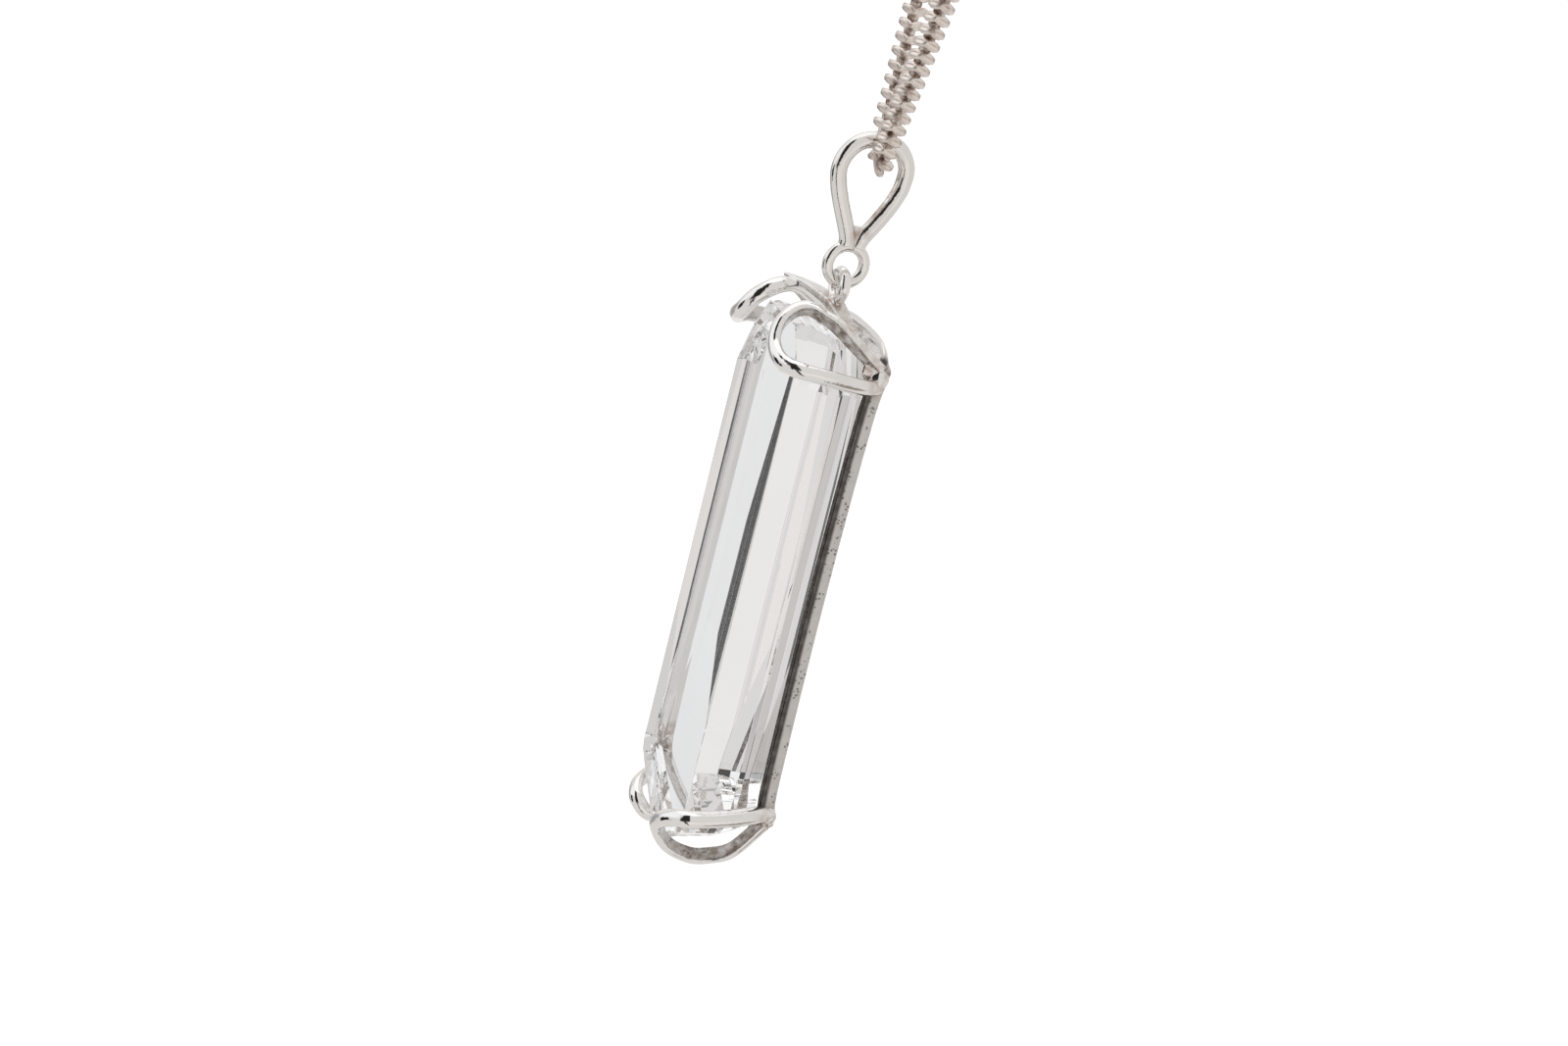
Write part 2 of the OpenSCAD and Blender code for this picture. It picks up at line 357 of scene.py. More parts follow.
def quartz():
    """Clear rock crystal, faintly cloudy in the body, with a polished skin."""
    material, tree, shader = new_material("clear_quartz")
    veil = ramp(tree, noise(tree, object_point(tree), VEIL_PATCHES), low=0.45, high=0.8)
    wire(tree, mix_colour(tree, veil, QUARTZ_CLEAR, QUARTZ_VEIL), shader.inputs["Base Color"])
    shader.inputs["Roughness"].default_value = 0.0
    shader.inputs["IOR"].default_value = QUARTZ_IOR
    shader.inputs["Transmission Weight"].default_value = 1.0
    shader.inputs["Metallic"].default_value = 0.0
    return material


polished = silver("polished_silver", BAIL_SILVER_AND_SHADE, 0.05, 0.05, tarnish=0.9, brown=BROWN)
setting_silver = silver(
    "setting_silver", SILVER_TONE, 0.06, 0.06, tarnish=0.95, brown=SETTING_BROWN, pits=0.5, painted_shade=True)
chain_silver = silver("chain_silver", CHAIN_TONE, 0.34, 0.1, tarnish=1.0, brown=CHAIN_BROWN)
clasp_silver = silver("clasp_silver", SILVER_TONE, 0.12, 0.1, tarnish=0.6, brown=BROWN)
clear_quartz = quartz()


# Meshes

def finished(name, verts, faces, place, material, body, node, attributes=None, smooth=True):
    """A mesh piece with its place in its mesh, riding its body and standing for its CAD node."""
    mesh = bpy.data.meshes.new(name)
    mesh.from_pydata([tuple(v) for v in verts], [], [tuple(f) for f in faces])
    mesh.transform(place)
    for title, values in (attributes or {}).items():
        layer = mesh.attributes.new(title, "FLOAT", "POINT")
        layer.data.foreach_set("value", np.asarray(values, np.float32))
    made = bmesh.new()
    made.from_mesh(mesh)
    bmesh.ops.recalc_face_normals(made, faces=made.faces)
    made.to_mesh(mesh)
    made.free()
    mesh.polygons.foreach_set("use_smooth", [smooth] * len(mesh.polygons))
    mesh.materials.append(material)
    piece = bpy.data.objects.new(name, mesh)
    bpy.context.scene.collection.objects.link(piece)
    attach(piece, body)
    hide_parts(node)
    return piece


def smooth_route(rows, steps, closed=False):
    """A smooth curve through the rows of a table, each row with any number of columns."""
    rows = np.asarray(rows, float)
    last = len(rows)
    out = []
    for i in range(last if closed else last - 1):
        pick = [(i + k) % last if closed else min(max(i + k, 0), last - 1) for k in (-1, 0, 1, 2)]
        a, b, c, d = (rows[k] for k in pick)
        for t in np.arange(steps) / steps:
            bend = (2 * a - 5 * b + 4 * c - d) * t * t
            out.append(0.5 * (2 * b + (c - a) * t + bend + (3 * b - a - 3 * c + d) * t ** 3))
    if not closed:
        out.append(rows[-1])
    return np.array(out)


def unit(v):
    return v / np.linalg.norm(v, axis=-1, keepdims=True)


def tangents(route, closed):
    if closed:
        return unit(np.roll(route, -1, 0) - np.roll(route, 1, 0))
    return unit(np.gradient(route, axis=0))


def tube(count, m, closed=False):
    """Faces round the rings of a tube, with m points in each ring."""
    faces = []
    for i in range(count if closed else count - 1):
        base, up = i * m, ((i + 1) % count) * m
        faces += [(base + j, up + j, up + (j + 1) % m, base + (j + 1) % m) for j in range(m)]
    return faces


def sweep(route, section, facing, closed=False, sizes=None):
    """Vertices and faces of wire along a route. Section rows are (towards facing, sideways)
    in millimetres, or in shares of that point's row of sizes; facing is a vector for each
    point of the route."""
    route = np.asarray(route, float)
    along = tangents(route, closed)
    facing = np.broadcast_to(facing, route.shape)
    first = unit(facing - (facing * along).sum(1, keepdims=True) * along)
    second = np.cross(along, first)
    count, m = len(route), len(section)
    size = np.ones((count, 2)) if sizes is None else sizes
    reach = np.asarray(section, float)[None] * size[:, None]
    rings = route[:, None] + (reach[..., :1] * first[:, None] + reach[..., 1:] * second[:, None])
    faces = tube(count, m, closed)
    if not closed:
        faces += [tuple(range(m)), tuple(reversed(range((count - 1) * m, count * m)))]
    return rings.reshape(-1, 3), faces


def circle(r, sides):
    a = np.arange(sides) * 2 * math.pi / sides
    return np.stack([r * np.cos(a), r * np.sin(a)], 1)


def hand_made(route, size, seed):
    """A slow, small wander in a route, as hand-bent wire has."""
    i = np.linspace(0, 1, len(route))
    waves = [np.sin(2 * math.pi * (k * i + seed * (0.37 + 0.11 * k))) for k in (2, 3, 5)]
    return route + np.stack(waves, 1) * size * np.sin(math.pi * i)[:, None]


def rise(x, start, over):
    """0 up to the start, then evenly up to 1 over this much more."""
    return np.clip((x - start) / over, 0, 1)


def fade(away, reach):
    """1 at no distance, evenly down to 0 at the reach."""
    return np.clip(1 - away / reach, 0, 1)


# Stone

# Outline of the stone's table: across, up
TABLE_OUTLINE = [
    (-6.4, 16.5), (-4.6, 20.1), (-2.4, 22.85), (4, 22.85), (6.4, 20.2), (6.4, -18.4), (4.2, -21.4),
    (2.2, -22.8), (0, -22.8), (-4.1, -20.2), (-6.1, -18.9), (-6.4, -18),
]
# Depth, and how far the facets stand outside that outline there: long sides, ends
STONE_STEPS = [
    (0.0, 0.0, 0.0),
    (0.92, 0.14, 0.1),
    (3.7, 0.5, -0.51),
    (4.2, 0.45, -0.62),
    (6.1, -0.28, -1.04),
    (7.3, -3.1, -1.3),
]
# Low roof of the stone's back: a point of each facet, its tilt to the near side, its lean upwards
BACK_FACETS = [
    (-1.15, 7.3, 0, 5.5, 0),
    (-1.15, 7.3, 0, -6.5, 0),
    (-1.15, 7.3, 4.5, -6.5, 1.3),
    (-1.15, 7.3, -5.6, -6.5, -4.2),
]
EDGE_BEVEL = 0.025
BLANK_SIZE = 80
# Points this near to a cut count as on it, points nearer to each other than this merge,
# and edges that bend less than this, in radians, go
ON_PLANE = 1e-5
MERGE = 0.004
FLAT_EDGE = 0.002


def facet_planes():
    """A point and the outward normal of each facet."""
    planes = [((0, 0, 0), (0, -1, 0))]
    for across, deep, up, tilt, lean in BACK_FACETS:
        tilt, lean = math.radians(tilt), math.radians(lean)
        normal = (math.sin(tilt), math.cos(tilt) * math.cos(lean), math.sin(lean))
        planes.append(((across, deep, up), normal))
    corners = [Vector(corner) for corner in TABLE_OUTLINE]
    for a, b in zip(corners, corners[1:] + corners[:1]):
        run = (b - a).normalized()
        out = Vector((-run.y, run.x))
        share = abs(out.x)
        middle = (a + b) / 2
        for (y0, side0, end0), (y1, side1, end1) in zip(STONE_STEPS, STONE_STEPS[1:]):
            off0 = share * side0 + (1 - share) * end0
            off1 = share * side1 + (1 - share) * end1
            point = (middle.x + out.x * off0, y0, middle.y + out.y * off0)
            slope = Vector((y1 - y0, -(off1 - off0))).normalized()
            planes.append((point, (out.x * slope.x, slope.y, out.y * slope.x)))
    return planes


def mesh_lists(made):
    """The vertices of a bmesh and its faces in a settled order; the bmesh goes."""
    made.verts.index_update()
    verts = [v.co.copy() for v in made.verts]
    faces = [[v.index for v in f.verts] for f in made.faces]
    made.free()
    starts = [face.index(min(face)) for face in faces]
    return verts, sorted(face[i:] + face[:i] for face, i in zip(faces, starts))


def stone():
    """The crystal as what its facets' planes leave of a block."""
    made = bmesh.new()
    bmesh.ops.create_cube(made, size=BLANK_SIZE)
    for point, normal in facet_planes():
        geometry = made.verts[:] + made.edges[:] + made.faces[:]
        cut = bmesh.ops.bisect_plane(
            made, geom=geometry, dist=ON_PLANE, plane_co=point, plane_no=normal, clear_outer=True)
        edges = [e for e in cut["geom_cut"] if isinstance(e, bmesh.types.BMEdge)]
        if len(edges) > 2:
            bmesh.ops.edgenet_fill(made, edges=edges)
    bmesh.ops.remove_doubles(made, verts=made.verts, dist=MERGE)
    bmesh.ops.dissolve_limit(made, angle_limit=FLAT_EDGE, verts=made.verts, edges=made.edges)
    bmesh.ops.bevel(
        made, geom=made.edges[:], offset=EDGE_BEVEL, segments=1, affect="EDGES", clamp_overlap=True)
    bmesh.ops.triangulate(made, faces=[f for f in made.faces if len(f.verts) > 4])
    verts, faces = mesh_lists(made)
    return finished(
        "quartz", verts, faces, drop_place, clear_quartz, "drop", "stone", smooth=False)


# Setting

# The back frame's near half from its top to its bottom, and its far half back up
NEAR_RAIL = [
    (0, 7.8, 22), (3.5, 7.7, 21.9), (6.0, 7.35, 21.3), (6.8, 6.8, 20.2), (6.82, 6.52, 17.6),
    (6.8, 6.4, 12), (6.78, 6.36, 6), (6.78, 6.36, 0), (6.78, 6.42, -6), (6.78, 6.5, -11),
    (6.8, 6.6, -16), (6.8, 6.8, -17.8), (6.1, 7.3, -19.5), (3.5, 7.6, -20.4),
]
FAR_RAIL = [
    (0, 7.8, -20.7), (-3.5, 7.7, -20.4), (-6.3, 7.35, -19.5), (-7.05, 7.2, -18.2),
    (-7.1, 7.15, -16), (-7.1, 7.15, -9), (-7.1, 7.15, 0), (-7.1, 7.15, 9), (-7.1, 7.15, 17.6),
    (-7.05, 7.2, 20.2), (-6.3, 7.4, 21.3), (-3.5, 7.7, 21.9),
]
# Prong loops: out of the back frame, over the stone's edge and back; a hub inside each loop
TOP_PRONG = [
    (6.75, 6.95, 19.45), (7.5, 5.2, 19.6), (7.75, 2.8, 19.95), (7.45, 0.3, 20.15),
    (6.0, -1.05, 20.35), (4.4, -1.4, 21.2), (3.4, -0.85, 22.85), (3.1, 0.85, 24.05),
    (4.2, 2.6, 23.75), (5.7, 4.7, 22.4), (6.6, 6.9, 20.8),
]
BOTTOM_PRONG = [
    (6.75, 7.3, -17.7), (7.5, 5.2, -17.95), (7.6, 2.9, -18.3), (7.3, 0.4, -18.75),
    (5.8, -0.95, -19.4), (4, -1.15, -20.95), (3.75, 0.25, -22.8), (4.4, 2, -23.4), (5, 3.6, -23),
    (5.9, 5.2, -21.9), (6.6, 7, -18.9),
]
FAR_BOTTOM_PRONG = [
    (-6.85, 7.3, -18.4), (-7.1, 5.4, -19.5), (-6.7, 3.1, -20.4), (-5.6, 1, -20.9),
    (-4, -0.5, -21.2), (-2.6, -0.85, -21.9), (-2, 0.2, -22.9), (-2.6, 1.8, -23.2),
    (-3.8, 3.6, -22.9), (-5.3, 5.2, -21.7), (-6.6, 7, -19.2),
]
TOP_HUB = np.array((5.4, 3, 21.9))
BOTTOM_HUB = np.array((5.4, 3, -20.8))
FAR_BOTTOM_HUB = np.array((-5.2, 3, -20.9))
MIRROR = (-1, 1, 1)
# Bar across the top: its middle line, breadth and thickness
TOP_BAR = [
    (5.2, 4.6, 23, 1, 0.5), (2.8, 4.5, 23.5, 1.2, 0.55), (0, 4.45, 23.95, 1.5, 0.7),
    (-2.6, 3.8, 24.2, 1.3, 0.6), (-4.4, 2.7, 24.35, 0.9, 0.45), (-5.5, 2, 24.4, 0.4, 0.25),
]
# Flat strip with a rounded front edge: outwards, forwards
STRIP_SECTION = [
    (0.33, -0.62), (0.33, -0.3), (0.33, 0), (0.325, 0.22), (0.26, 0.46), (0.1, 0.65), (-0.08, 0.7),
    (-0.25, 0.55), (-0.33, 0.3), (-0.33, -0.1), (-0.33, -0.6), (-0.24, -0.75), (0.24, -0.75),
]
# Square section with its corners cut: up and sideways, as shares of thickness and breadth
BAR_SECTION = [
    (-0.5, -0.38), (-0.5, 0), (-0.5, 0.38), (-0.38, 0.5), (0.38, 0.5),
    (0.5, 0.38), (0.5, 0), (0.5, -0.38), (0.38, -0.5), (-0.38, -0.5),
]
BAR_PITTED = 0.35
# Where the strip turns from its sides to its crossbars, and how far out its flat lies
FRAME_HALF = 6.7
STRIP_FLAT = 0.322
PRONG_WIRE = 1.45
# How far hand-bent wire strays from its line
WANDER = 0.03
# A prong's second limb, which returns to the back frame, turns its flat face this far to
# the near side
LIMB_TURN = np.array((0.8, -0.4, 0))
# Half-round section: inwards, sideways, in units of half the wire's width
D_SECTION = [
    (0.5, -0.8), (0.5, -0.45), (0.5, 0), (0.5, 0.45), (0.5, 0.8), (0.25, 1), (-0.25, 0.95),
    (-0.65, 0.62), (-0.85, 0), (-0.65, -0.62), (-0.25, -0.95), (0.25, -1),
]
# Soldered joints, where the tarnish gathers
JOINTS = np.array([
    (6.7, 7.15, 20.4), (-6.7, 7.15, 20.4), (6.7, 7.4, -18), (-6.7, 7.4, -18), (0, 4.5, 24.2),
    (5, 4.7, 23), (0, 4.53, 24.4),
])


# How far tarnish spreads from a joint: over the wires, over the hang ring and over solder
WIRE_REACH = 2.6
RING_REACH = 1.2
SOLDER_REACH = 1.6
RING_STEPS = 72
RING_SIDES = 24


def near_joints(points, reach):
    """1 at a soldered joint, falling to 0 at this reach."""
    return fade(np.linalg.norm(points[:, None] - JOINTS[None], axis=2).min(1), reach)


def flat_mask(section, rings):
    """1 on the flat inner face of a half-round section."""
    face = rise(section[:, 0] / np.abs(section[:, 0]).max(), start=0.45, over=0.2)
    return np.tile(face, rings)


def setting_piece(name, verts, faces, flat=None, reach=WIRE_REACH, painted_shade=None, stain=0.0):
    none = np.zeros(len(verts))
    attributes = {
        "joint": np.maximum(near_joints(verts, reach), stain),
        "flat": none if flat is None else flat,
        # Mask of the painted shade: where black is painted to stand for shade
        "painted_shade": none if painted_shade is None else painted_shade,
    }
    return finished(
        name, verts, faces, drop_place, setting_silver, "drop", "setting", attributes)


def prong(name, rows, hub, seed):
    route = hand_made(smooth_route(rows, 12), WANDER, seed)
    section = smooth_route(D_SECTION, 2, closed=True) * PRONG_WIRE / 2
    second_limb = rise(np.linspace(0, 1, len(route)), start=0.5, over=0.2)
    verts, faces = sweep(route, section, hub + second_limb[:, None] * LIMB_TURN - route)
    flat = flat_mask(section, len(route))
    return setting_piece(name, verts, faces, flat, stain=flat * np.repeat(second_limb, len(section)))


def back_frame():
    """The strip, with its pitted flat outwards on the near side and a painted black shade in front of it.
    """
    route = smooth_route(NEAR_RAIL + FAR_RAIL, 10, closed=True)
    section = smooth_route(STRIP_SECTION, 2, closed=True)
    side, front = section.T
    across = route[:, 0]
    backward = fade(np.abs(across), FRAME_HALF)
    outward = np.sign(across + 1e-6) * (1 - backward)
    facing = np.stack([outward, backward * 3, np.zeros(len(route))], 1)
    verts, faces = sweep(route, section, facing, closed=True)
    flat = np.tile((side > STRIP_FLAT).astype(float), len(route)) * (verts[:, 0] > 0)
    edge = rise(front, start=0.06, over=0.1) * rise(side, start=-0.2, over=0.1)
    # Painted shade: black painted on the near rail's front edge, where its inner side lies in shade
    painted_shade = np.tile(edge, len(route)) * rise(verts[:, 0], start=5.9, over=0.4)
    return setting_piece("back_frame", verts, faces, flat, painted_shade=painted_shade)


def top_bar():
    rows = smooth_route(TOP_BAR, 8)
    section = smooth_route(BAR_SECTION, 2, closed=True)
    verts, faces = sweep(rows[:, :3], section, np.array((0, 0, 1.0)), sizes=rows[:, [4, 3]])
    return setting_piece("top_bar", verts, faces, np.full(len(verts), BAR_PITTED))


def ring(middle, radius, wire_d, across):
    """Vertices and faces of a closed ring that stands upright; across is its level axis."""
    a = np.arange(RING_STEPS) * 2 * math.pi / RING_STEPS
    turn = np.cos(a)[:, None] * np.array(across) + np.sin(a)[:, None] * np.array((0, 0, 1))
    route = np.array(middle) + radius * turn
    inward = np.array(middle) - route + 1e-6
    return sweep(route, circle(wire_d / 2, RING_SIDES), inward, closed=True)


def solder(name, middle, size, seed, stain=0.0):
    """A small lump of solder, uneven as it froze."""
    made = bmesh.new()
    bmesh.ops.create_icosphere(made, subdivisions=4, radius=1)
    verts, faces = mesh_lists(made)
    verts = np.array(verts)
    x, y, z = verts.T
    lumps = 1 + 0.08 * np.sin(3 * x + seed) * np.cos(4 * z - seed) + 0.05 * np.sin(5 * y + 2 * seed)
    verts = verts * lumps[:, None] * np.array(size) + np.array(middle)
    return setting_piece(name, verts, faces, reach=SOLDER_REACH, stain=stain)


def setting():
    back_frame()
    prong("prong_near_top", TOP_PRONG, TOP_HUB, 1)
    prong("prong_far_top", np.asarray(TOP_PRONG, float) * MIRROR, TOP_HUB * MIRROR, 2)
    prong("prong_near_bottom", BOTTOM_PRONG, BOTTOM_HUB, 3)
    prong("prong_far_bottom", FAR_BOTTOM_PRONG, FAR_BOTTOM_HUB, 4)
    top_bar()
    verts, faces = ring(HANG_RING_MIDDLE, HANG_RING_R, HANG_RING_WIRE, across=(1, 0, 0))
    setting_piece("hang_ring", verts, faces, reach=RING_REACH)
    solder("solder_near_top", (6.75, 6.85, 20.1), (0.74, 0.8, 1.1), 1)
    solder("fillet_near_top", (6.55, 6.25, 20.6), (0.45, 0.95, 0.85), 6, stain=0.8)
    solder("solder_far_top", (-6.72, 6.95, 20.35), (0.62, 0.6, 0.72), 2)
    solder("solder_near_bottom", (6.72, 7.1, -18.15), (0.74, 0.74, 0.95), 3)
    solder("solder_far_bottom", (-6.7, 7.15, -18.05), (0.62, 0.6, 0.7), 4)
    solder("solder_ring", (0, 4.5, 24.25), (0.95, 0.65, 0.42), 5)


# Bail

# Middle line of the bail's teardrop from the middle of its small ring: back, up
BAIL_ROUTE = [
    (-0.5, 1.6), (-0.56, 2.1), (-0.85, 2.75), (-1.38, 3.7), (-2.05, 4.9), (-2.65, 6.15),
    (-3.0, 7.4), (-2.8, 8.7), (-1.88, 9.85), (-0.5, 10.33), (0.5, 10.33), (1.65, 9.8), (2.48, 8.68),
    (2.62, 7.3), (2.4, 6.15), (1.93, 4.9), (1.36, 3.7), (0.85, 2.75), (0.56, 2.1), (0.5, 1.6),
]
BAIL_SIDES = 28
# Tarnish about the crotch, and on the wire's side towards the teardrop's middle
CROTCH = np.array((0, 0, 2.75))
CROTCH_REACH = 1.4
TEARDROP_MIDDLE = np.array((0, 0, 6.6))
INNER_STAIN = 0.75
WEB_SIDES = 24
WEB_STAIN = 0.3
# The small ring's wire is this much thicker than its size in the table of sizes
RING_SWELL = 0.08
# Web between the limbs: height, half its width, half its thickness
WEB = [
    (1.5, 0.35, 0.5), (2, 0.45, 0.52), (2.6, 0.7, 0.46), (3.0, 0.85, 0.36), (3.2, 0.8, 0.24),
    (3.26, 0.6, 0.1),
]


def bail_tarnish(verts):
    return fade(np.linalg.norm(verts - CROTCH, axis=1), CROTCH_REACH)


def bail_piece(name, verts, faces, joint):
    return finished(
        name, verts, faces, bail_place, polished, "hanger", "bail", {"joint": joint})


def bail():
    route = np.array([(0, y, z) for y, z in smooth_route(BAIL_ROUTE, 8)])
    section = circle(BAIL_WIRE / 2, BAIL_SIDES)
    verts, faces = sweep(route, section, np.array((1.0, 0, 0)))
    middle = np.repeat(route, len(section), 0)
    inward = (unit(verts - middle) * unit(TEARDROP_MIDDLE - middle)).sum(1)
    inner = rise(inward, start=0.55, over=0.3) * INNER_STAIN
    bail_piece("bail_loop", verts, faces, np.maximum(bail_tarnish(verts), inner))

    rows = smooth_route(WEB, 4)
    upright = rows[:, :1] * (0, 0, 1)
    section = circle(1, WEB_SIDES)
    verts, faces = sweep(upright, section, np.array((1.0, 0, 0)), sizes=rows[:, [2, 1]])
    bail_piece("bail_web", verts, faces, WEB_STAIN + (1 - WEB_STAIN) * bail_tarnish(verts))

    verts, faces = ring((0, 0, 0), SMALL_RING_R, SMALL_RING_WIRE + RING_SWELL, across=(0, 1, 0))
    bail_piece("bail_small_ring", verts, faces, bail_tarnish(verts))


# Chain

# The chain's wire, and its links: side loops sweep along the chain, lean back from its
# crest and roll about their own length; the spine's loops lie behind them
LINKS = {
    "Pitch": 1.28 * MM,
    "Wire": 0.55 * MM,
    "Side Length": 1.25 * MM,
    "Side Width": 0.42 * MM,
    "Side Offset": 0.56 * MM,
    "Side Sweep": math.radians(60),
    "Side Lean": math.radians(34),
    "Side Roll": math.radians(40),
    "Spine Length": 1.5 * MM,
    "Spine Width": 0.46 * MM,
    "Spine Back": 0.42 * MM,
}
# Turn of the links about the chain on the near strand and on the far one
NEAR_TURN = 0.2
FAR_TURN = math.pi
LOOP_STEPS = 8
WIRE_SIDES = 5
# Points of the guide round the neck, down a strand and in the fold
NECK_STEPS = 160
STRAND_STEPS = 80
FOLD_STEPS = 40
# Vertices measured at a time
BLOCK = 4000
# Tarnish starts this deep towards the chain's middle line and is full this much deeper
STAIN_START = 0.55 * MM
STAIN_OVER = 0.25 * MM


def loop_route():
    """Points of the chain in the loop's plane, from one cup of the clasp round to the other,
    with the number of points up to the fold and in it."""
    neck_r = LOOP_LENGTH / (math.pi + 2 * STRAND_LEAN + 2 / math.tan(STRAND_LEAN))
    neck_z = CLASP_D / 2 - neck_r
    fold_z = neck_z - (neck_r - FOLD_R) / math.sin(STRAND_LEAN)
    end = math.asin((CLASP_LENGTH / 2 - CUP_DEPTH + 2 * PLAY) / neck_r)

    def arc(r, z, start, stop, steps):
        return [(r * math.cos(a), 0, z + r * math.sin(a)) for a in np.linspace(start, stop, steps)]

    near = arc(neck_r, neck_z, math.pi / 2 - end, -STRAND_LEAN, NECK_STEPS)
    fold = arc(FOLD_R, fold_z, -STRAND_LEAN, STRAND_LEAN - math.pi, FOLD_STEPS)
    near += [tuple(p) for p in np.linspace(near[-1], fold[0], STRAND_STEPS)[1:-1]]
    far = [(-x, y, z) for x, y, z in reversed(near)]
    return np.array(near + fold + far), len(near), len(fold)


def interface_value(modifier, title, value):
    items = {i.name: i.identifier for i in modifier.node_group.interface.items_tree if i.in_out == "INPUT"}
    modifier[items[title]] = value


def chain_tree():
    """Links set along a curve: a spine loop, and a slanting loop on each side of it."""
    tree = bpy.data.node_groups.new("links along a curve", "GeometryNodeTree")
    tree.interface.new_socket(name="Geometry", in_out="INPUT", socket_type="NodeSocketGeometry")
    for title in LINKS:
        tree.interface.new_socket(name=title, in_out="INPUT", socket_type="NodeSocketFloat")
    for title, kind in (("Plane Normal", "Vector"), ("Material", "Material")):
        tree.interface.new_socket(name=title, in_out="INPUT", socket_type="NodeSocket" + kind)
    tree.interface.new_socket(name="Geometry", in_out="OUTPUT", socket_type="NodeSocketGeometry")
    ins, outs = add(tree, "NodeGroupInput").outputs, add(tree, "NodeGroupOutput").inputs

    profile = add(tree, "GeometryNodeCurvePrimitiveCircle")
    profile.inputs["Resolution"].default_value = WIRE_SIDES
    wire(tree, math_node(tree, "MULTIPLY", ins["Wire"], 0.5), profile.inputs["Radius"])

    def loop(length, width):
        """A wire loop, long along local X and lying in the XY plane."""
        path = add(tree, "GeometryNodeCurvePrimitiveCircle")
        path.inputs["Resolution"].default_value = LOOP_STEPS
        path.inputs["Radius"].default_value = 0.5
        size = add(tree, "ShaderNodeCombineXYZ")
        wire(tree, length, size.inputs["X"])
        wire(tree, width, size.inputs["Y"])
        size.inputs["Z"].default_value = 1
        blunt = add(tree, "GeometryNodeTransform")
        wire(tree, path.outputs["Curve"], blunt.inputs["Geometry"])
        blunt.inputs["Rotation"].default_value = (0, 0, math.pi / LOOP_STEPS)
        stretched = add(tree, "GeometryNodeTransform")
        wire(tree, blunt.outputs[0], stretched.inputs["Geometry"])
        wire(tree, size.outputs[0], stretched.inputs["Scale"])
        swept = add(tree, "GeometryNodeCurveToMesh")
        wire(tree, stretched.outputs[0], swept.inputs["Curve"])
        wire(tree, profile.outputs["Curve"], swept.inputs["Profile Curve"])
        return swept.outputs[0]

    def turned(geometry, axis, angle, offset=None):
        turn = add(tree, "FunctionNodeAxisAngleToRotation")
        turn.inputs["Axis"].default_value = axis
        value_of(tree, turn.inputs["Angle"], angle)
        moved = add(tree, "GeometryNodeTransform")
        wire(tree, geometry, moved.inputs["Geometry"])
        wire(tree, turn.outputs[0], moved.inputs["Rotation"])
        if offset is not None:
            wire(tree, offset, moved.inputs["Translation"])
        return moved.outputs[0]

    joined = add(tree, "GeometryNodeJoinGeometry")
    behind = add(tree, "ShaderNodeCombineXYZ")
    wire(tree, ins["Spine Back"], behind.inputs["Y"])
    spine = loop(ins["Spine Length"], ins["Spine Width"])
    spine = turned(spine, (1, 0, 0), math.pi / 2, behind.outputs[0])
    stained = add(tree, "GeometryNodeStoreNamedAttribute", data_type="FLOAT", domain="POINT")
    stained.inputs["Name"].default_value = "joint"
    stained.inputs["Value"].default_value = 1.0
    wire(tree, spine, stained.inputs["Geometry"])
    wire(tree, stained.outputs[0], joined.inputs[0])
    offset = add(tree, "ShaderNodeCombineXYZ")
    wire(tree, ins["Side Offset"], offset.inputs["X"])
    for side in (-1, 1):
        one = loop(ins["Side Length"], ins["Side Width"])
        roll = math_node(tree, "MULTIPLY", ins["Side Roll"], side)
        one = turned(one, (1, 0, 0), roll, offset.outputs[0])
        one = turned(one, (0, 1, 0), math_node(tree, "MULTIPLY", ins["Side Sweep"], -side))
        one = turned(one, (1, 0, 0), math_node(tree, "MULTIPLY", ins["Side Lean"], -side))
        wire(tree, one, joined.inputs[0])
    shaded = add(tree, "GeometryNodeSetShadeSmooth")
    wire(tree, joined.outputs[0], shaded.inputs["Geometry"])

    curve = add(tree, "GeometryNodeMeshToCurve")
    wire(tree, ins["Geometry"], curve.inputs[0])
    spaced = add(tree, "GeometryNodeResampleCurve", mode="LENGTH")
    wire(tree, curve.outputs[0], spaced.inputs["Curve"])
    wire(tree, ins["Pitch"], spaced.inputs["Length"])
    along = add(tree, "FunctionNodeAlignRotationToVector", axis="X")
    wire(tree, add(tree, "GeometryNodeInputTangent").outputs[0], along.inputs["Vector"])
    square = add(tree, "FunctionNodeAlignRotationToVector", axis="Z", pivot_axis="X")
    wire(tree, along.outputs[0], square.inputs["Rotation"])
    wire(tree, ins["Plane Normal"], square.inputs["Vector"])
    twist = add(tree, "FunctionNodeAxisAngleToRotation")
    twist.inputs["Axis"].default_value = (1, 0, 0)
    turn = add(tree, "GeometryNodeInputNamedAttribute", data_type="FLOAT")
    turn.inputs["Name"].default_value = "turn"
    wire(tree, turn.outputs["Attribute"], twist.inputs["Angle"])
    posed = add(tree, "FunctionNodeRotateRotation", rotation_space="LOCAL")
    wire(tree, square.outputs[0], posed.inputs["Rotation"])
    wire(tree, twist.outputs[0], posed.inputs["Rotate By"])
    placed = add(tree, "GeometryNodeInstanceOnPoints")
    wire(tree, spaced.outputs[0], placed.inputs["Points"])
    wire(tree, shaded.outputs[0], placed.inputs["Instance"])
    wire(tree, posed.outputs[0], placed.inputs["Rotation"])
    real = add(tree, "GeometryNodeRealizeInstances")
    wire(tree, placed.outputs[0], real.inputs[0])
    painted = add(tree, "GeometryNodeSetMaterial")
    wire(tree, real.outputs[0], painted.inputs["Geometry"])
    wire(tree, ins["Material"], painted.inputs["Material"])
    wire(tree, painted.outputs[0], outs[0])
    return tree


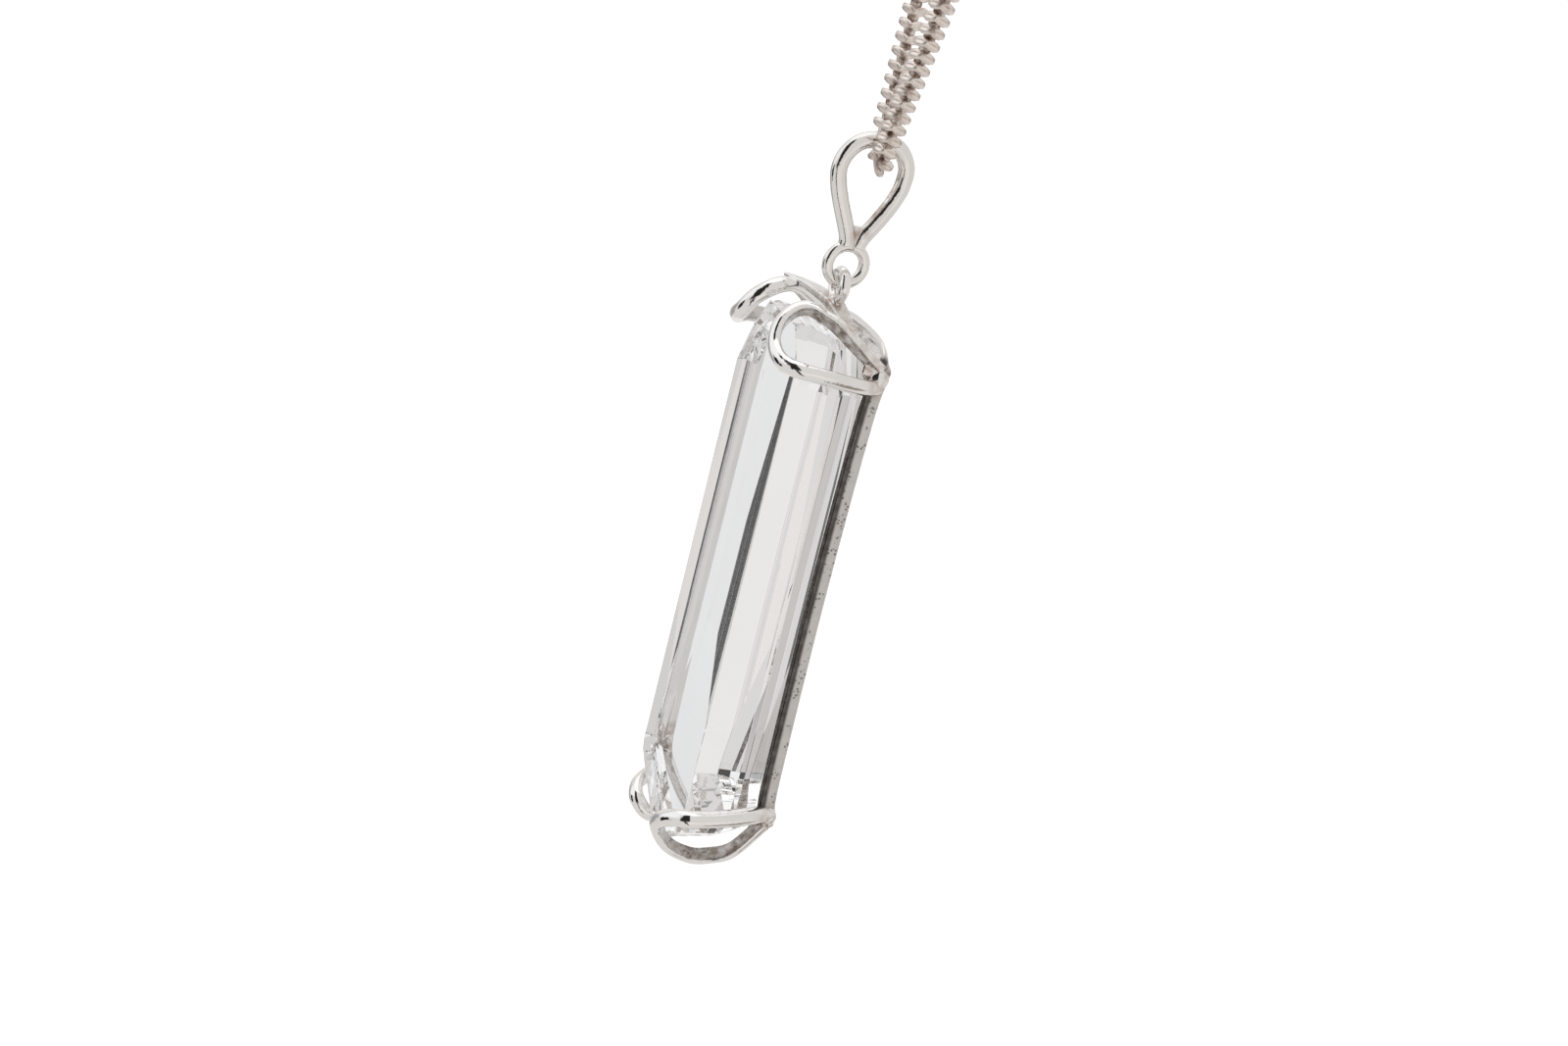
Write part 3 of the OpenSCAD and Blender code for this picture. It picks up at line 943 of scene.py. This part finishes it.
def plain_mesh(guide, name):
    """The evaluated modifier's result as an object of its own; the guide goes."""
    shown = bpy.context.evaluated_depsgraph_get()
    mesh = bpy.data.meshes.new_from_object(guide.evaluated_get(shown))
    bpy.data.objects.remove(guide)
    mesh.name = name
    volume = bmesh.new()
    volume.from_mesh(mesh)
    if volume.calc_volume(signed=True) < 0:
        bmesh.ops.reverse_faces(volume, faces=volume.faces)
    volume.to_mesh(mesh)
    volume.free()
    piece = bpy.data.objects.new(name, mesh)
    bpy.context.scene.collection.objects.link(piece)
    return piece


def stain_depths(piece, line):
    """Tarnish deep between the links, near the chain's middle line, beside that of the spine."""
    verts = np.array([v.co for v in piece.data.vertices])
    blocks = np.array_split(verts, max(1, len(verts) // BLOCK))
    away = np.concatenate([np.linalg.norm(b[:, None] - line[None, ::2], axis=2).min(1) for b in blocks])
    stain = piece.data.attributes["joint"].data
    spine = np.empty(len(verts), np.float32)
    stain.foreach_get("value", spine)
    deep = rise(-away, start=-STAIN_START, over=STAIN_OVER)
    stain.foreach_set("value", np.maximum(spine, deep).astype(np.float32))


def chain():
    points, near_count, fold_count = loop_route()
    count = len(points)
    mesh = bpy.data.meshes.new("chain_guide")
    mesh.from_pydata([tuple(p) for p in points], [(i, i + 1) for i in range(count - 1)], [])
    mesh.transform(loop_place)
    turn = np.full(count, NEAR_TURN)
    turn[near_count:near_count + fold_count] = np.linspace(NEAR_TURN, FAR_TURN, fold_count)
    turn[near_count + fold_count:] = FAR_TURN
    mesh.attributes.new("turn", "FLOAT", "POINT").data.foreach_set("value", turn.astype(np.float32))
    guide = bpy.data.objects.new("chain_guide", mesh)
    bpy.context.scene.collection.objects.link(guide)
    links = guide.modifiers.new("links", "NODES")
    links.node_group = chain_tree()
    for title, value in LINKS.items():
        interface_value(links, title, value)
    plane_normal = loop_place.to_3x3().normalized() @ Vector((0, 1, 0))
    interface_value(links, "Plane Normal", tuple(plane_normal))
    interface_value(links, "Material", chain_silver)
    piece = plain_mesh(guide, "chain_links")
    stain_depths(piece, np.array([tuple(loop_place @ Vector(p)) for p in points]))
    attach(piece, "necklace")
    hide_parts("chain")


# Clasp, along the loop's top

# Profile of one half, from the bottom of its cup round to the barrel's middle: along, radius
CLASP_PROFILE = [
    (3.5, 0.0), (3.5, 1.4), (5.38, 1.45), (5.5, 1.56), (5.44, 1.72), (5.28, 1.8), (4.75, 1.8),
    (4.66, 1.68), (4.5, 1.6), (4.34, 1.68), (4.25, 1.76), (3.2, 1.79), (0.25, 1.8), (0.12, 1.76),
    (0.07, 1.62), (0.0, 1.6),
]
CLASP_SIDES = 64
# Shallow grip lines on the barrel: depth as a share, one side in so many, and how far they
# reach along it and in to its axis
GRIP_DEPTH = 0.015
GRIP_EVERY = 4
GRIP_HALF = 3.3
GRIP_R = 1.75
# Tarnish in the groove by each cup and in the seam in the middle
GROOVE = (4.3, 4.7)
SEAM = 0.1
CLASP_STAIN = 0.6
CLASP_SHARP = math.radians(35)


def clasp():
    half = np.array(CLASP_PROFILE)
    profile = np.concatenate([half, (half[:-1] * (-1, 1))[::-1]])
    sides = CLASP_SIDES
    verts = []
    for x, r in profile[1:-1]:
        for k in range(sides):
            a = 2 * math.pi * k / sides
            grooved = abs(x) < GRIP_HALF and r > GRIP_R and k % GRIP_EVERY == 0
            grip = 1 - GRIP_DEPTH * grooved
            verts.append((x, r * grip * math.cos(a), r * grip * math.sin(a)))
    verts += [(profile[0][0], 0, 0), (profile[-1][0], 0, 0)]
    rows = len(profile) - 2
    faces = tube(rows, sides)
    first, last = rows * sides, rows * sides + 1
    end = (rows - 1) * sides
    faces += [(first, k, (k + 1) % sides) for k in range(sides)]
    faces += [(last, end + (k + 1) % sides, end + k) for k in range(sides)]
    away = np.abs(np.array(verts)[:, 0])
    stained = ((away > GROOVE[0]) & (away < GROOVE[1])) | (away < SEAM)
    joint = {"joint": np.where(stained, CLASP_STAIN, 0.0)}
    place = loop_place @ Matrix.Translation((0, 0, CLASP_D / 2))
    piece = finished(
        "barrel_clasp", verts, faces, place, clasp_silver, "necklace", "clasp", joint)
    piece.data.set_sharp_from_angle(angle=CLASP_SHARP)


# Floor and light

FLOOR_BELOW = 0.1
FLOOR_REACH = 12
FLOOR_GLOW = 0.4
FLOOR_PALE = (0.93, 0.93, 0.935, 1)
FLOOR_GRAIN = (0.925, 0.925, 0.93, 1)
# What the camera itself sees behind the part
BACKDROP = (1.07, 1.07, 1.07, 1)


def stage_and_light():
    scene = bpy.context.scene
    scene.view_settings.view_transform = "Standard"
    scene.cycles.max_bounces = 32
    scene.cycles.glossy_bounces = 24
    scene.cycles.transmission_bounces = 24
    floor_z = cad_box[0].z - FLOOR_BELOW
    mesh = bpy.data.meshes.new("floor")
    corners = [(x * FLOOR_REACH, y * FLOOR_REACH, floor_z) for x, y in ((-1, -1), (1, -1), (1, 1), (-1, 1))]
    mesh.from_pydata(corners, [], [(0, 1, 2, 3)])
    floor = bpy.data.objects.new("floor", mesh)
    scene.collection.objects.link(floor)
    material, tree, shader = new_material("pale_floor")
    grain = ramp(tree, noise(tree, object_point(tree), FLOOR_PATCHES), low=0.3, high=0.8)
    wire(tree, mix_colour(tree, grain, FLOOR_PALE, FLOOR_GRAIN), shader.inputs["Base Color"])
    shader.inputs["Roughness"].default_value = 0.9
    shader.inputs["Emission Color"].default_value = (1, 1, 1, 1)
    shader.inputs["Emission Strength"].default_value = FLOOR_GLOW
    mesh.materials.append(material)
    floor.visible_glossy = False
    floor.visible_transmission = False

    world = bpy.data.worlds.new("tent")
    scene.world = world
    world.use_nodes = True
    tent_light(world.node_tree)


# Soft lights and dark gaps of the tent: centre across and up from the camera's
# direction, half width, half height and softness in degrees, then brightness and tint
BASE_LIGHT = (0.72, 0.705, 0.69)
TENT = [
    ((180, 0), (34, 40), 10, (0.86, 0.845, 0.83)),
    ((159, 0), (14, 30), 5, (0.925, 0.925, 0.93)),
    ((0, 90), (180, 34), 12, (1.1, 1.1, 1.1)),
    ((-85, 35), (30, 24), 12, (0.95, 0.96, 0.98)),
    ((0, -36), (48, 13), 8, (0.84, 0.8, 0.775)),
    ((78, -62), (22, 14), 10, (0.3, 0.26, 0.23)),
    ((-134, 3), (16, 16), 8, (0.36, 0.36, 0.37)),
    ((-155, 4), (7, 12), 4, (0.57, 0.55, 0.53)),
    ((-92, -4), (12, 12), 4, (0.012, 0.011, 0.01)),
    ((-33, 21), (17, 36), 5, (0.02, 0.02, 0.02)),
    ((-36, -40), (6, 24), 5, (0.02, 0.02, 0.02)),
]


def tent_light(tree):
    """The world: a plain white to the eye, and the tent's lights and gaps to reflections."""
    light = tree.nodes["Background"]
    way = add(tree, "ShaderNodeTexCoord").outputs["Generated"]

    def along(axis):
        dot = add(tree, "ShaderNodeVectorMath", operation="DOT_PRODUCT")
        wire(tree, way, dot.inputs[0])
        dot.inputs[1].default_value = tuple(axis)
        return dot.outputs["Value"]

    degrees = 180 / math.pi
    azimuth = math_node(tree, "ARCTAN2", along(view_right), along(view_toward))
    across = math_node(tree, "MULTIPLY", azimuth, degrees)
    height = math_node(tree, "MULTIPLY", math_node(tree, "ARCSINE", along(view_up)), degrees)
    colour = (*BASE_LIGHT, 1)
    for (x, y), (half_x, half_y), soft, tint in TENT:
        away = math_node(tree, "ABSOLUTE", math_node(tree, "SUBTRACT", across, x))
        away = math_node(tree, "MINIMUM", away, math_node(tree, "SUBTRACT", 360, away))
        inside = ramp(tree, away, half_x - soft / 2, half_x + soft / 2, to_low=1.0, to_high=0.0)
        off = math_node(tree, "ABSOLUTE", math_node(tree, "SUBTRACT", height, y))
        level = ramp(tree, off, half_y - soft / 2, half_y + soft / 2, to_low=1.0, to_high=0.0)
        colour = mix_colour(tree, math_node(tree, "MULTIPLY", inside, level), colour, (*tint, 1))
    seen = add(tree, "ShaderNodeLightPath").outputs["Is Camera Ray"]
    wire(tree, mix_colour(tree, seen, colour, BACKDROP), light.inputs["Color"])


stone()
setting()
bail()
chain()
clasp()
stage_and_light()
